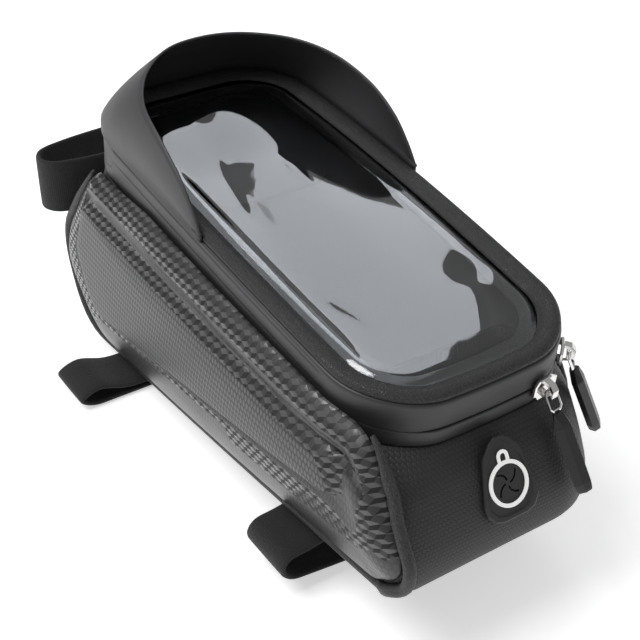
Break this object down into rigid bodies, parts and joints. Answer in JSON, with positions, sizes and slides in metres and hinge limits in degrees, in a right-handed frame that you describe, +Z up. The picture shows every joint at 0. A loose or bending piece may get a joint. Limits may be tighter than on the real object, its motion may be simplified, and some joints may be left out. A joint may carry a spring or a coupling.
{
  "type": "bike phone bag",
  "caption": "Wedge-shaped top-tube bag with a clear phone window in its zipped lid, a sun visor, moulded sides, a cable outlet, grip pad and straps.",
  "frame": {"origin": "middle of the grip pad's underside, where the bag seats on the top tube", "axes": "+Z up, +Y to the handlebar, X across the bag"},
  "size_m": [0.1287, 0.2771, 0.1428],
  "materials": {
    "coated_cloth": "embossed coated cloth",
    "smooth_band": "smooth matte",
    "moulded_panel": "twill print",
    "webbing": "woven",
    "gloss_border": "gloss",
    "clear_film": "clear flexible film",
    "rubber": "matte",
    "pale_ring": "satin",
    "zip_metal": "polished",
    "tab_plastic": "satin",
    "foam": "foam"
  },
  "bodies": {
    "root": {"gusset_shell": "coated_cloth", "side_panel_left": "moulded_panel", "side_panel_right": "moulded_panel", "piping_left": "coated_cloth", "piping_right": "coated_cloth", "top_band": "smooth_band", "zip_coil_lower": "tab_plastic", "base_board": "foam", "base_pad": "rubber", "cable_port": "rubber", "port_ring": "pale_ring", "strap_front": "webbing", "strap_rear": "webbing", "strap_head": "webbing", "head_anchor": "webbing", "zip_stop_rear": "zip_metal", "zip_stop_front": "zip_metal"},
    "lid": {"lid_wall": "smooth_band", "lid_rim": "coated_cloth", "window_frame": "gloss_border", "window_film": "clear_film", "visor": "smooth_band", "phone_tray": "smooth_band", "phone_pad": "foam", "zip_coil_upper": "tab_plastic"},
    "rear_slider": {"slider_rear": "zip_metal"},
    "side_slider": {"slider_side": "zip_metal"},
    "rear_tab": {"link_rear": "zip_metal", "tab_rear": "tab_plastic"},
    "side_tab": {"link_side": "zip_metal", "tab_side": "tab_plastic"}
  },
  "joints": [
    {"name": "lid_hinge", "type": "hinge", "parent": "root", "child": "lid", "pos_m": [-0.0467, 0.02751, 0.07876], "axis": [0, -0.9929, -0.1191], "range_deg": [0, 90]},
    {"name": "rear_slide", "type": "slide", "parent": "root", "child": "rear_slider", "axis": [-0.9978, -0.0658, -0.0079], "range_m": [0, 0.03]},
    {"name": "side_slide", "type": "hinge", "parent": "root", "child": "side_slider", "pos_m": [0.0175, -0.046, 0.0619], "axis": [0, -0.1191, 0.9929], "range_deg": [0, 16]},
    {"name": "rear_tab_swing", "type": "hinge", "parent": "rear_slider", "child": "rear_tab", "pos_m": [0.02241, -0.07801, 0.05806], "axis": [-0.9945, -0.1038, -0.0124], "range_deg": [0, 100]},
    {"name": "side_tab_swing", "type": "hinge", "parent": "side_slider", "child": "side_tab", "pos_m": [0.04053, -0.06663, 0.05969], "axis": [-0.6691, -0.7379, -0.0885], "range_deg": [0, 90]}
  ]
}
